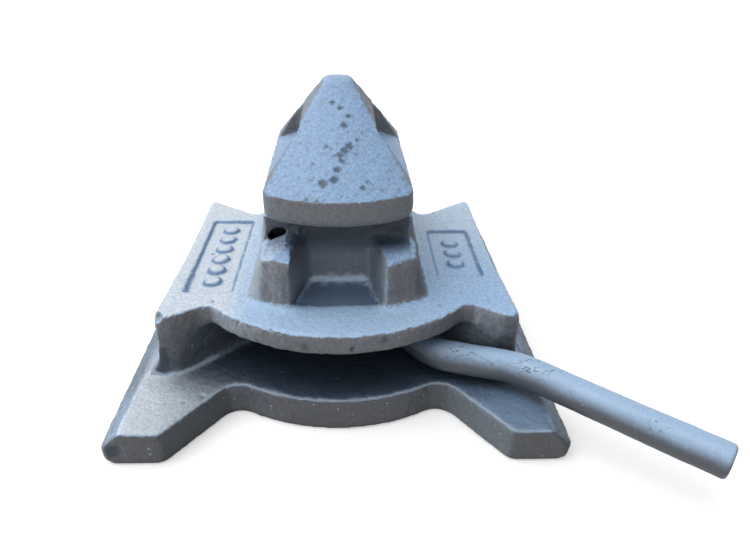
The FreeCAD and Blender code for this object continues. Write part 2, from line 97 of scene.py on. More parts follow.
# Knocks and blow holes: centre, radius and depth in mm, and the way inwards.
DENTS = (((-68.6, -54.0, 41.5), 4.2, 2.6, (0.8, 0.5, -0.6)),
         ((68.6, -54.5, 41.5), 3.0, 1.2, (-0.7, 0.5, -0.6)),
         ((5.6, -67.6, 35.8), 1.5, 1.3, (0, 1, 0)),
         ((-51.0, -67.0, 14.5), 1.6, 1.0, (0, 0.3, -1)),
         ((-78.5, -87.0, 6.5), 5.0, 1.5, (0.3, 1, 0.2)),
         ((-57.5, -87.2, 6.0), 1.7, 1.3, (0, 1, 0)),
         ((-57.6, -87.0, 12.4), 1.2, 0.9, (0, 1, -0.3)),
         ((-48.3, -43.8, 41.5), 1.4, 1.0, (0, 0.3, -1)),
         ((34.5, -66.5, 12.0), 1.4, 0.9, (0, 1, 0)))
# Where painted shade darkens them: centre, radius and strength.
KNOCKS = (((-69.0, -54.5, 41.0), 2.4, 0.85), ((-80.0, -86.6, 6.0), 3.0, 0.75),
          ((5.6, -67.6, 35.8), 1.3, 0.9), ((-57.5, -87.0, 6.0), 1.2, 0.8),
          ((-57.6, -86.6, 12.4), 1.0, 0.8), ((-48.3, -43.8, 41.8), 1.1, 0.8),
          ((34.5, -66.5, 12.0), 1.1, 0.7), ((-51.0, -67.0, 14.5), 1.3, 0.7),
          ((-12.0, -67.4, 36.5), 2.0, 0.6), ((17.0, -66.0, 38.5), 2.0, 0.6))
# Painted light: a sky reflection on faces turned up, whitened by light from the left.
SKY_REFLECTION = (0.31, 0.47, 0.70, 1)
LIT_WHITE = (0.565, 0.645, 0.725, 1)
# Upright faces in a shaded tone, paler in painted light on the left, darker in painted shade on
# the right.
FACE = (0.125, 0.132, 0.150, 1)
LEFT_FACE = (0.30, 0.345, 0.395, 1)
RIGHT_FACE = (0.085, 0.092, 0.108, 1)
# Painted shade in hollows, also the colour of the sand's dark flecks.
SHADE_AND_FLECK = (0.045, 0.070, 0.105, 1)
# Painted shade in creases.
CREASE_SHADE = (0.08, 0.14, 0.25, 1)
# Painted shade where light hardly reaches.
SHADE_NAVY = (0.018, 0.031, 0.050, 1)
# Painted shade on the sides of the raised marks.
MARK_SIDE_TONE = (0.13, 0.23, 0.39, 1)
# Painted highlight on rims and in rounded hollows.
HIGHLIGHT_TONE = (0.48, 0.60, 0.74, 1)
# Painted glints.
GLINT = (0.55, 0.62, 0.70, 1)
CRACK_LINE = (0.045, 0.075, 0.125, 1)
SCUFFED = (0.06, 0.095, 0.155, 1)
# Deepest painted shade, in hollows and next to other pieces.
DEEP_SHADE = (0.008, 0.010, 0.014, 1)
BARE = (0.055, 0.060, 0.070, 1)


def even_skin(node_name, name, voxel, smoothing):
    """Copy of a machined-looking shape as one closed skin of small even faces."""
    bm = bmesh.new()
    bm.from_mesh(nodes[node_name].data)
    bmesh.ops.remove_doubles(bm, verts=bm.verts, dist=1e-6)
    source = bpy.data.meshes.new(name + "_source")
    bm.to_mesh(source)
    bm.free()
    holder = bpy.data.objects.new(name + "_source", source)
    scene.collection.objects.link(holder)
    remesh = holder.modifiers.new("skin", "REMESH")
    remesh.mode = "VOXEL"
    remesh.voxel_size = voxel
    graph = bpy.context.evaluated_depsgraph_get()
    mesh = bpy.data.meshes.new_from_object(holder.evaluated_get(graph))
    bpy.data.objects.remove(holder)
    skin = bmesh.new()
    skin.from_mesh(mesh)
    bpy.data.meshes.remove(mesh)
    for _ in range(smoothing):
        bmesh.ops.smooth_vert(skin, verts=skin.verts, factor=0.5, use_axis_x=True,
                              use_axis_y=True, use_axis_z=True)
    skin.normal_update()
    return skin


def between(value, low, high):
    """0 at low, 1 at high, straight between; high may be the smaller."""
    return min(1.0, max(0.0, (value - low) / (high - low)))


def melt(skin, times, where):
    """Round off edges and corners of one zone, the way a sand mould leaves them."""
    zone = [vert for vert in skin.verts if where(vert.co)]
    for _ in range(times):
        bmesh.ops.smooth_vert(skin, verts=zone, factor=0.5, use_axis_x=True,
                              use_axis_y=True, use_axis_z=True)
    skin.normal_update()


def roughen(skin, size, height, where=None):
    """Raise and sink the skin along its normals with smooth noise."""
    for vert in skin.verts:
        share = 1.0 if where is None else where(vert)
        if share:
            lift = noise.fractal(vert.co / size, 1.0, 2.0, 3) - 0.3
            vert.co += vert.normal * (lift * height * share)


def dent(skin, centre, radius, depth, inward):
    """Soft round dent; inward is the way the surface goes."""
    centre, inward = Vector(centre) * MM, Vector(inward).normalized()
    for vert in skin.verts:
        gap = (vert.co - centre).length / (radius * MM)
        if gap < 1:
            vert.co += inward * (depth * MM * (1 - gap * gap) ** 2)


def finish_skin(skin, name, node_name, triangles):
    """Thin the skin, keep it inside the node's box and let it replace the node."""
    bmesh.ops.triangulate(skin, faces=skin.faces)
    mesh = bpy.data.meshes.new(name)
    skin.to_mesh(mesh)
    skin.free()
    piece = bpy.data.objects.new(name, mesh)
    scene.collection.objects.link(piece)
    if len(mesh.polygons) > triangles:
        thin = piece.modifiers.new("thin", "DECIMATE")
        thin.ratio = triangles / len(mesh.polygons)
        graph = bpy.context.evaluated_depsgraph_get()
        piece.data = bpy.data.meshes.new_from_object(piece.evaluated_get(graph))
        piece.modifiers.clear()
        piece.data.name = name
        bpy.data.meshes.remove(mesh)
    low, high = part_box(node_name)
    for vert in piece.data.vertices:
        for axis in range(3):
            vert.co[axis] = min(max(vert.co[axis], low[axis]), high[axis])
    piece.data.shade_smooth()
    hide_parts(node_name)
    return piece


skin = even_skin("housing", "housing_casting", SKIN_VOXEL, 1)
collar_top = max(vert.co.z for vert in skin.verts)
seat = collar_top - COLLAR_HEIGHT


def in_panel(co, margin=0.0):
    """Inside one of the two marking panels sunk in the plate."""
    return abs(co.z - seat) < NEAR_SEAT and any(
        (west - margin) * MM < co.x < (east + margin) * MM
        and (south - margin) * MM < co.y < (north + margin) * MM
        for west, south, east, north in PANELS)


def by_pin(co):
    """At the bore of the spindle's retaining pin, which keeps its sharp edge."""
    across = co.x - PIN_BORE_X * MM
    return math.hypot(across, co.z - collar_top + PIN_BORE_DROP * MM) < PIN_EDGE * MM


def outside_bore(co):
    """Everything but the spindle's bore, the panels and the pin's bore."""
    return (math.hypot(co.x, co.y) > BORE_EDGE_R and not in_panel(co, 2.0)
            and not by_pin(co))


def collar_outside(co):
    """The collar's outer faces, down to the plate round it."""
    radius = math.hypot(co.x, co.y)
    return (COLLAR_INNER_R < radius < COLLAR_REACH and abs(co.x) < COLLAR_HALF_WIDTH
            and seat - NEAR_SEAT < co.z < collar_top - TOP_EDGE and not by_pin(co))


def lugs_and_pocket(co):
    """The collar's two ends, with the lugs and the pocket between them."""
    middle = abs(co.y) > LUG_START and abs(co.x) < LUG_START
    lugs = abs(co.x) > LUG_INNER and abs(co.y) > LUG_FRONT
    return (middle or lugs) and collar_outside(co)


def feet_and_walls(co):
    """All that lies below the plate, outside the round chamber."""
    outside = abs(co.x) > CHAMBER_HALF_WIDTH or abs(co.y) > CHAMBER_HALF_LENGTH
    return outside and co.z < seat - 1.5 * MM


def spread_sides():
    """Widen the collar's flanks at their foot, and plate and walls at the front."""
    for vert in skin.verts:
        x, y, above = vert.co.x / MM, vert.co.y / MM, (vert.co.z - seat) / MM
        if -1.5 < above < FLANK_HEIGHT:
            reach = between(abs(x), 26, 29.5) * between(abs(x), 40, 31)
            reach *= between(abs(y), 53, 46)
            spread = FOOT_SPREAD * reach * (1 - max(above, 0) / FLANK_HEIGHT)
            vert.co.x += math.copysign(spread * MM, x)
        if vert.co.z > 15 * MM:
            spread = CORNER_SPREAD * between(y, -12, -54) * between(abs(x), 58, 66)
            vert.co.x += math.copysign(spread * MM, x)
    skin.normal_update()


def deepen_panels():
    """Sink the panels' floors a little further and raise the marks in them."""
    panel_floor = seat - PANEL_SINK * MM
    for vert in skin.verts:
        if in_panel(vert.co, -0.8):
            rise = max(0.0, vert.co.z - panel_floor)
            vert.co.z = panel_floor - PANEL_DEEPER * MM + rise * MARK_STRETCH
    skin.normal_update()


def off_floor(vert):
    """Everything but the flat underside."""
    return 0.0 if vert.co.z < UNDERSIDE else 1.0


def mostly_off_floor(vert):
    """Everything, with the underside only faintly."""
    return 0.2 if vert.co.z < UNDERSIDE else 1.0


def lug_tops(vert):
    """Sloping tops of the lugs in front and behind."""
    high = seat + LUG_TOP_FROM < vert.co.z < collar_top - 1 * MM
    on_lug = abs(vert.co.y) > LUG_START and high
    return 1.0 if on_lug and vert.normal.z > 0.2 else 0.0


def flange_rim(vert):
    """Front half of the rim of the round flange."""
    radius = math.hypot(vert.co.x, vert.co.y)
    near = abs(radius - FLANGE_R) < RIM_REACH and abs(vert.co.z - seat) < RIM_REACH
    return 1.0 if near and vert.co.y < -30 * MM else 0.0


spread_sides()
for rounds, zone in ((5, outside_bore), (30, collar_outside), (45, lugs_and_pocket),
                     (12, feet_and_walls)):
    melt(skin, rounds, zone)
deepen_panels()
roughen(skin, LUMP_SIZE, LUMP_HEIGHT, off_floor)
roughen(skin, SAND_SIZE, SAND_HEIGHT, mostly_off_floor)
roughen(skin, CRUST_SIZE, LUG_CRUST, lug_tops)
roughen(skin, CRUST_SIZE, RIM_CRUST, flange_rim)
for centre, radius, depth, inward in DENTS:
    dent(skin, centre, radius, depth, inward)
# Both bores are bored true, whatever the skin did there.
for vert in skin.verts:
    radius = math.hypot(vert.co.x, vert.co.y)
    if vert.co.z > BORE_FROM and radius < BORE_R:
        vert.co.xy *= BORE_R / max(radius, 1 * MM)
    elif vert.co.z < JOURNAL_TO and radius < JOURNAL_BORE_R:
        vert.co.xy *= JOURNAL_BORE_R / max(radius, 1 * MM)
housing = finish_skin(skin, "housing_casting", "housing", HOUSING_TRIANGLES)
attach(housing, "housing_body")

# Painted light and shade on the casting, in three layers: painted shade where light
# hardly reaches (slot, pocket, under the head, right-hand faces, knocks and holes),
# a painted highlight on rims and in rounded hollows, and painted shade on the sides
# of the raised marks. Places are in mm, and facings are shares of the unit normal,
# and a pair of them in between() is where a fade begins and ends. The values are
# strengths of the painted shade, then of the painted light, then extents.
LIGHT_AND_SHADE_LAYERS = ("shade", "painted_highlight", "mark_side_shade")
POCKET_SIDES = 0.55
POCKET_FLOOR = 0.66
SLOT_FLOOR = 0.98
SLOT_OUTWARDS = 0.36
SLOT_LEFTWARDS = 0.48
FOOT_ENDS = 0.35
DOVETAIL_SLOPE = 0.45
RIGHT_WALL = 0.3
WALL_FOOT = 0.85
UNDER_HEAD = 0.92
UNDER_HEAD_LEFT = 0.5
RIGHT_FLANK = 0.42
POCKET_WALL_PALE = 0.16
LEDGE_PALE = 0.42
LEDGE_INNER_SHARE = 0.3
MOUTH_PALE = 0.16
LEFT_FLANK_PALE = 0.22
SEAT_FRONT_PALE = 0.28
MARK_SIDES = 0.9
DOVETAIL_X = 75.5
DOVETAIL_TOP = 16
POCKET_HALF_WIDTH = 19
POCKET_BAND_HALF_WIDTH = 15
POCKET_FRONT = -50
POCKET_BACK = -24
POCKET_TOP = 27
BASE_TOP = (10, 22)
RIGHT_WALL_X = 55
WALL_FOOT_X = (66, 77)
MOUTH_X = (38, 58)
COLLAR_END_HALF_WIDTH = 28
FLANK_X = (29, 37)
FLANK_END = 54
KNOCK_EDGE = 1.1 * MM


def pocket_light_and_shade(x, y, above, facing):
    """Front pocket: painted shade on floor and sides, a painted highlight band at the back wall's
    foot.
    """
    nx, ny, nz = facing
    inside = between(abs(x), POCKET_HALF_WIDTH, 16)
    dark = POCKET_SIDES * between(abs(nx), 0.25, 0.8) * inside
    if nz > 0.5 and above < 6:
        level = POCKET_FLOOR * between(y, -47.5, -45.5) * between(nz, 0.75, 0.93)
        dark = max(dark, level * inside)
    light = POCKET_WALL_PALE * between(above, 20, 7) * between(nz, 0.4, 0.1)
    if abs(x) < POCKET_BAND_HALF_WIDTH:
        band = between(nz, 0.12, 0.50) * between(nz, 0.96, 0.72)
        band = band * between(ny, -0.1, -0.4) * between(above, 8, 4)
        light = max(light, band * between(abs(x), 14.5, 10.5))
    return dark, light


def base_light_and_shade(x, y, z, nz):
    """Base's upper side: painted shade in the slot, less outwards and to the left, a painted
    highlight on the front rim.
    """
    radius = math.hypot(x, y)
    dark = SLOT_FLOOR - SLOT_OUTWARDS * between(radius, 62, 92)
    dark -= SLOT_LEFTWARDS * between(x, -42, -70) * between(radius, 56, 84)
    dark = max(0.0, dark) * between(nz, 0.2, 0.6)
    light = 0.0
    if y < -30 and abs(x) < 75:
        rim = between(nz, 0.45, 0.65) * between(nz, 0.97, 0.85) * between(z, 19, 16)
        light = LEDGE_PALE * rim * (1.0 if radius > 66 else LEDGE_INNER_SHARE)
    return dark, light


def wall_light_and_shade(x, y, z, nz):
    """Side walls: painted shade on the right and at the flared front foot, painted light by the
    mouth.
    """
    dark = light = 0.0
    if x > RIGHT_WALL_X and 14 < z < seat / MM - 1 and abs(nz) < 0.5:
        dark = RIGHT_WALL
    if WALL_FOOT_X[0] < abs(x) < WALL_FOOT_X[1] and 14.8 < z < 27:
        dark = max(dark, WALL_FOOT * between(y, -47, -52))
    if MOUTH_X[0] < x < MOUTH_X[1] and y < -36 and 15 < z < 34 and nz < 0.6:
        light = MOUTH_PALE * between(z, 34, 27) * between(x, MOUTH_X[1], 52)
    return dark, light


def collar_light_and_shade(x, y, above, nz):
    """Collar: painted shade under the head's overhang, flanks in painted shade right and painted
    light left.
    """
    dark = light = 0.0
    if abs(x) < COLLAR_END_HALF_WIDTH and math.hypot(x, y) > 24 and above > 6:
        overhung = between(above + (50 - abs(y)) * 0.55, 23.5, 28.5)
        dark = overhung * (UNDER_HEAD if x > -20 else UNDER_HEAD_LEFT)
    beside = FLANK_X[0] < abs(x) < FLANK_X[1] and abs(y) < FLANK_END
    if beside and 0.5 < above < 22 and nz < 0.6:
        flank = between(abs(x), 29.3, 30.3)
        if x > 0:
            dark = max(dark, RIGHT_FLANK * flank)
        else:
            light = LEFT_FLANK_PALE * flank
    if abs(above) < 1 and y < -46 and nz > 0.8:
        light = max(light, SEAT_FRONT_PALE * between(abs(x), 42, 26))
    return dark, light


def knock_shade(co):
    """Dark spots of painted shade at the knocks and blow holes."""
    dark = 0.0
    for centre, size, depth in KNOCKS:
        gap = (co / MM - Vector(centre)).length / size
        if gap < 1.4:
            ragged = noise.noise(co / KNOCK_EDGE) * 0.4
            dark = max(dark, depth * between(gap + ragged, 1.1, 0.7))
    return dark


def light_and_shade_at(co, facing):
    """Levels of painted shade, painted highlight and painted shade on the marks' sides at one
    point of the casting.
    """
    x, y, z = (value / MM for value in co)
    nx, _, nz = facing
    above = z - seat / MM
    dark = light = thin = 0.0
    # Painted shade in pocket, slot, feet's ends and dovetail slopes, and on the marks' sides.
    in_pocket = abs(x) < POCKET_HALF_WIDTH and POCKET_FRONT < y < POCKET_BACK
    if in_pocket and -3 < above < POCKET_TOP:
        dark, light = pocket_light_and_shade(x, y, above, facing)
    elif BASE_TOP[0] < z < BASE_TOP[1] and nz > 0.2:
        dark, light = base_light_and_shade(x, y, z, nz)
    elif in_panel(co, 0.8):
        thin = MARK_SIDES * between(nz, 0.975, 0.85)
    elif z < 14 and abs(nz) < 0.5 and abs(nx) > 0.4 and abs(y) > 50:
        dark = FOOT_ENDS
    if z < DOVETAIL_TOP and x < -DOVETAIL_X and nx < -0.25:
        dark = DOVETAIL_SLOPE * between(y, -74, -54)
    elif z < DOVETAIL_TOP and x > DOVETAIL_X and nx > 0.25:
        dark = DOVETAIL_SLOPE
    wall_dark, wall_light = wall_light_and_shade(x, y, z, nz)
    collar_dark, collar_light = collar_light_and_shade(x, y, above, nz)
    dark = max(dark, wall_dark, collar_dark, knock_shade(co))
    return dark, max(light, wall_light, collar_light), thin


vectors = [0.0] * (3 * len(housing.data.vertices))
housing.data.vertices.foreach_get("normal", vectors)
levels = [light_and_shade_at(vert.co, vectors[3 * vert.index:3 * vert.index + 3])
          for vert in housing.data.vertices]
for label, values in zip(LIGHT_AND_SHADE_LAYERS, zip(*levels)):
    layer = housing.data.attributes.new(label, "FLOAT", "POINT")
    layer.data.foreach_set("value", values)


def new_group(name, inputs, outputs):
    """Empty shader node group with its sockets."""
    group = bpy.data.node_groups.new(name, "ShaderNodeTree")
    for label, kind, value in inputs:
        socket = group.interface.new_socket(label, in_out="INPUT", socket_type=kind)
        socket.default_value = value
    for label, kind in outputs:
        group.interface.new_socket(label, in_out="OUTPUT", socket_type=kind)
    return group, group.nodes.new("NodeGroupInput"), group.nodes.new("NodeGroupOutput")


def put(tree, kind, links=(), **settings):
    """One node with its settings, and links to its inputs by name or index."""
    node = tree.nodes.new(kind)
    for key, value in settings.items():
        setattr(node, key, value)
    for key, source in dict(links).items():
        if isinstance(source, bpy.types.NodeSocket):
            tree.links.new(source, node.inputs[key])
        else:
            node.inputs[key].default_value = source
    return node


def ramp(tree, source, low, high):
    """0 at low, 1 at high, smooth between."""
    return put(tree, "ShaderNodeMapRange", {0: source, 1: low, 2: high},
               interpolation_type="SMOOTHSTEP").outputs[0]


def mix(tree, factor, first, second):
    """First colour at 0, second at 1."""
    return put(tree, "ShaderNodeMix", {0: factor, 6: first, 7: second},
               data_type="RGBA").outputs[2]


def calc(tree, operation, first, second=0.0):
    """Result of one sum on two sockets or numbers."""
    return put(tree, "ShaderNodeMath", {0: first, 1: second},
               operation=operation).outputs[0]


def cloud(tree, coords, scale, detail=4.0, rough=0.55):
    """Soft noise of about so many lumps per metre."""
    return put(tree, "ShaderNodeTexNoise", {"Vector": coords, "Scale": scale,
                                            "Detail": detail, "Roughness": rough}).outputs[0]


# Spray coat with painted light: a painted sky reflection on what faces up, whitened
# by painted light to the left and the back; upright faces in darker shaded tones,
# paler where painted light falls on faces turned left, darker in painted shade on
# faces turned right and lower down. Sizes of noise are in lumps per metre.
BLOTCHES = 90.0
SPECKS = 900.0
WAVER = 0.35
BACK_LIGHT = 0.5
LEFT_LEAN_LIGHT = 0.75
coat, given, result = new_group(
    "spray_coat_and_sky_light",
    [("Sky Lit From", "NodeSocketFloat", 0.52), ("Sky Lit To", "NodeSocketFloat", 0.94),
     ("Sky Reflection", "NodeSocketColor", SKY_REFLECTION), ("Lit White", "NodeSocketColor", LIT_WHITE),
     ("Face", "NodeSocketColor", FACE), ("Left Face", "NodeSocketColor", LEFT_FACE),
     ("Right Face", "NodeSocketColor", RIGHT_FACE), ("Painted Light", "NodeSocketFloat", 1.0),
     ("Waver", "NodeSocketFloat", 1.0), ("Speckle", "NodeSocketFloat", 1.0)],
    [("Color", "NodeSocketColor")])
spot = coat.nodes.new("ShaderNodeTexCoord")
facing = put(coat, "ShaderNodeSeparateXYZ", {0: spot.outputs["Normal"]})
place = put(coat, "ShaderNodeSeparateXYZ", {0: spot.outputs["Object"]})
blotch = cloud(coat, spot.outputs["Object"], BLOTCHES, 5.0, 0.6)
speck = cloud(coat, spot.outputs["Object"], SPECKS, 3.0, 0.6)
waver = calc(coat, "ADD", calc(coat, "MULTIPLY", calc(coat, "SUBTRACT", blotch, 0.5), WAVER),
             calc(coat, "MULTIPLY", calc(coat, "SUBTRACT", speck, 0.5), WAVER))
waver = calc(coat, "MULTIPLY", waver, given.outputs["Waver"])
sky_lit = ramp(coat, calc(coat, "ADD", facing.outputs[2], waver),
             given.outputs["Sky Lit From"], given.outputs["Sky Lit To"])
# Painted light: faces turned up whiter to the left, to the back and where they lean left.
to_left = ramp(coat, place.outputs[0], -0.030, -0.046)
to_back = calc(coat, "MULTIPLY", ramp(coat, place.outputs[1], -0.035, 0.03),
               BACK_LIGHT)
leaning = ramp(coat, facing.outputs[0], -0.15, -0.55)
white = calc(coat, "MAXIMUM", calc(coat, "MAXIMUM", to_left, to_back),
             calc(coat, "MULTIPLY", leaning, LEFT_LEAN_LIGHT))
white = calc(coat, "MULTIPLY", white, given.outputs["Painted Light"])
white = calc(coat, "MULTIPLY", white, ramp(coat, facing.outputs[2], 0.74, 0.95))
top_tone = mix(coat, white, given.outputs["Sky Reflection"], given.outputs["Lit White"])
# Painted light and shade: upright faces paler facing left, darker facing right.
side_tone = mix(coat, ramp(coat, facing.outputs[0], -0.25, -0.75),
                given.outputs["Face"], given.outputs["Left Face"])
side_tone = mix(coat, ramp(coat, facing.outputs[0], 0.2, 0.7), side_tone,
                given.outputs["Right Face"])
# Painted shade: upright faces darker lower down.
low_face_shade = put(coat, "ShaderNodeMapRange", {0: place.outputs[2], 1: 0.012, 2: 0.040,
                                         3: 0.62, 4: 1.0})
side_tone = put(coat, "ShaderNodeVectorMath", {0: side_tone, "Scale": low_face_shade.outputs[0]},
                operation="SCALE").outputs[0]
tone = mix(coat, sky_lit, side_tone, top_tone)
grain = put(coat, "ShaderNodeMapRange", {0: speck, 1: 0.32, 2: 0.68, 3: -0.18, 4: 0.20})
grain = calc(coat, "ADD", calc(coat, "MULTIPLY", grain.outputs[0], given.outputs["Speckle"]), 1.0)
tone = put(coat, "ShaderNodeVectorMath", {0: tone, "Scale": grain},
           operation="SCALE").outputs[0]
coat.links.new(tone, result.inputs["Color"])

# Sand grain: the mould's grain with scattered blow holes, and painted glints. The
# shares say how much coarser or finer than the grain and the pits the other noises are.
COARSE_SHARE = 0.3
PIT_CLUSTER_SHARE = 0.35
GRIT_SHARE = 3.2
FINE_HEIGHT = 0.6
PIT_HEIGHT = 1.8
RARE = 0.955
sand, given, result = new_group(
    "sand_grain_and_glints",
    [("Grain", "NodeSocketFloat", 950.0), ("Pits", "NodeSocketFloat", 170.0),
     ("Pit Amount", "NodeSocketFloat", 0.6)],
    [("Height", "NodeSocketFloat"), ("Pit", "NodeSocketFloat"), ("Fleck", "NodeSocketFloat"),
     ("Glint", "NodeSocketFloat")])
spot = sand.nodes.new("ShaderNodeTexCoord")
fine = cloud(sand, spot.outputs["Object"], given.outputs["Grain"], 3.0, 0.65)
coarse = cloud(sand, spot.outputs["Object"],
               calc(sand, "MULTIPLY", given.outputs["Grain"], COARSE_SHARE), 3.0, 0.6)
cells = put(sand, "ShaderNodeTexVoronoi", {"Vector": spot.outputs["Object"],
                                           "Scale": given.outputs["Pits"]})
few = cloud(sand, spot.outputs["Object"],
            calc(sand, "MULTIPLY", given.outputs["Pits"], PIT_CLUSTER_SHARE), 2.0)
pit = calc(sand, "MULTIPLY", ramp(sand, cells.outputs["Distance"], 0.20, 0.08),
           ramp(sand, few, 0.60, 0.68))
pit = calc(sand, "MULTIPLY", pit, given.outputs["Pit Amount"])
finer = calc(sand, "MULTIPLY", given.outputs["Pits"], GRIT_SHARE)
grit = put(sand, "ShaderNodeTexVoronoi", {"Vector": spot.outputs["Object"], "Scale": finer})
fleck = calc(sand, "MULTIPLY", ramp(sand, grit.outputs["Distance"], 0.26, 0.12),
             ramp(sand, coarse, 0.50, 0.62))
height = calc(sand, "ADD", calc(sand, "MULTIPLY", fine, FINE_HEIGHT), coarse)
height = calc(sand, "SUBTRACT", height, calc(sand, "MULTIPLY", pit, PIT_HEIGHT))
sand.links.new(height, result.inputs["Height"])
sand.links.new(pit, result.inputs["Pit"])
sand.links.new(fleck, result.inputs["Fleck"])
# Painted glints: a painted highlight on a rare few grains.
chance = put(sand, "ShaderNodeSeparateXYZ", {0: grit.outputs["Color"]})
sand.links.new(calc(sand, "MULTIPLY", ramp(sand, grit.outputs["Distance"], 0.30, 0.16),
                    calc(sand, "GREATER_THAN", chance.outputs[0], RARE)),
               result.inputs["Glint"])

# Painted shade and wear: painted shade in hollows, in creases and next to other
# pieces, thin dark chips where edges stand out. The reaches are how far from a corner
# between two faces, or from the next piece, the painted shade goes.
CREASE_REACH = 3 * MM
GAP_REACH = 7 * MM
shade_and_wear, given, result = new_group(
    "painted_shade_and_wear",
    [("Hollow", "NodeSocketFloat", 0.040), ("Edge Width", "NodeSocketFloat", 0.0011),
     ("Break Up", "NodeSocketFloat", 230.0)],
    [("Hollow Shade", "NodeSocketFloat"), ("Crease Shade", "NodeSocketFloat"), ("Contact Shade", "NodeSocketFloat"),
     ("Chip", "NodeSocketFloat")])
spot = shade_and_wear.nodes.new("ShaderNodeTexCoord")
deep = put(shade_and_wear, "ShaderNodeAmbientOcclusion", {"Distance": given.outputs["Hollow"]},
           samples=6, only_local=True)
near = put(shade_and_wear, "ShaderNodeAmbientOcclusion", {"Distance": CREASE_REACH}, samples=4,
           only_local=True)
# Painted shade next to other pieces, the floor among them.
gap = put(shade_and_wear, "ShaderNodeAmbientOcclusion", {"Distance": GAP_REACH}, samples=4)
rim = put(shade_and_wear, "ShaderNodeAmbientOcclusion", {"Distance": given.outputs["Edge Width"]},
          samples=4, inside=True)
broken = cloud(shade_and_wear, spot.outputs["Object"], given.outputs["Break Up"], 4.0, 0.65)
place = put(shade_and_wear, "ShaderNodeSeparateXYZ", {0: spot.outputs["Object"]})
# Painted shade in hollows, stronger lower down.
low_hollow_boost = put(shade_and_wear, "ShaderNodeMapRange", {0: place.outputs[2], 1: 0.026, 2: 0.040,
                                            3: 1.45, 4: 0.62})
shade_and_wear.links.new(calc(shade_and_wear, "MULTIPLY", calc(shade_and_wear, "SUBTRACT", 1.0, deep.outputs["AO"]),
                    low_hollow_boost.outputs[0]), result.inputs["Hollow Shade"])
shade_and_wear.links.new(calc(shade_and_wear, "SUBTRACT", 1.0, near.outputs["AO"]), result.inputs["Crease Shade"])
shade_and_wear.links.new(calc(shade_and_wear, "SUBTRACT", 1.0, gap.outputs["AO"]), result.inputs["Contact Shade"])
shade_and_wear.links.new(calc(shade_and_wear, "MULTIPLY", ramp(shade_and_wear, rim.outputs["AO"], 0.62, 0.30),
                    ramp(shade_and_wear, broken, 0.50, 0.62)), result.inputs["Chip"])

# Cracked paint: wiry lines in patches, on the upper side, stretched from side to side.
CRACK_PATCHES = 62.0
CRACK_TURN = 0.93
CRACK_STRETCH = 0.42
cracks, given, result = new_group(
    "cracked_paint", [("Size", "NodeSocketFloat", 210.0), ("Width", "NodeSocketFloat", 0.016)],
    [("Line", "NodeSocketFloat")])
spot = cracks.nodes.new("ShaderNodeTexCoord")
turned = put(cracks, "ShaderNodeMapping", {0: spot.outputs["Object"],
                                           "Rotation": (0, 0, CRACK_TURN),
                                           "Scale": (CRACK_STRETCH, 1, 1)})
field = cloud(cracks, turned.outputs[0], given.outputs["Size"], 3.0, 0.55)
line = ramp(cracks, calc(cracks, "ABSOLUTE", calc(cracks, "SUBTRACT", field, 0.5)),
            given.outputs["Width"], 0.002)
patch = ramp(cracks, cloud(cracks, turned.outputs[0], CRACK_PATCHES, 1.0), 0.50, 0.58)
lying = put(cracks, "ShaderNodeSeparateXYZ", {0: spot.outputs["Normal"]})
line = calc(cracks, "MULTIPLY", calc(cracks, "MULTIPLY", line, patch),
            ramp(cracks, lying.outputs[2], 0.35, 0.6))
cracks.links.new(line, result.inputs["Line"])


# Strengths of the layers over the coat.
FLECKS = 0.35
CREASE_SHADING = 0.80
PITS = 0.85
GLINTS = 0.40
RELIEF = 0.75


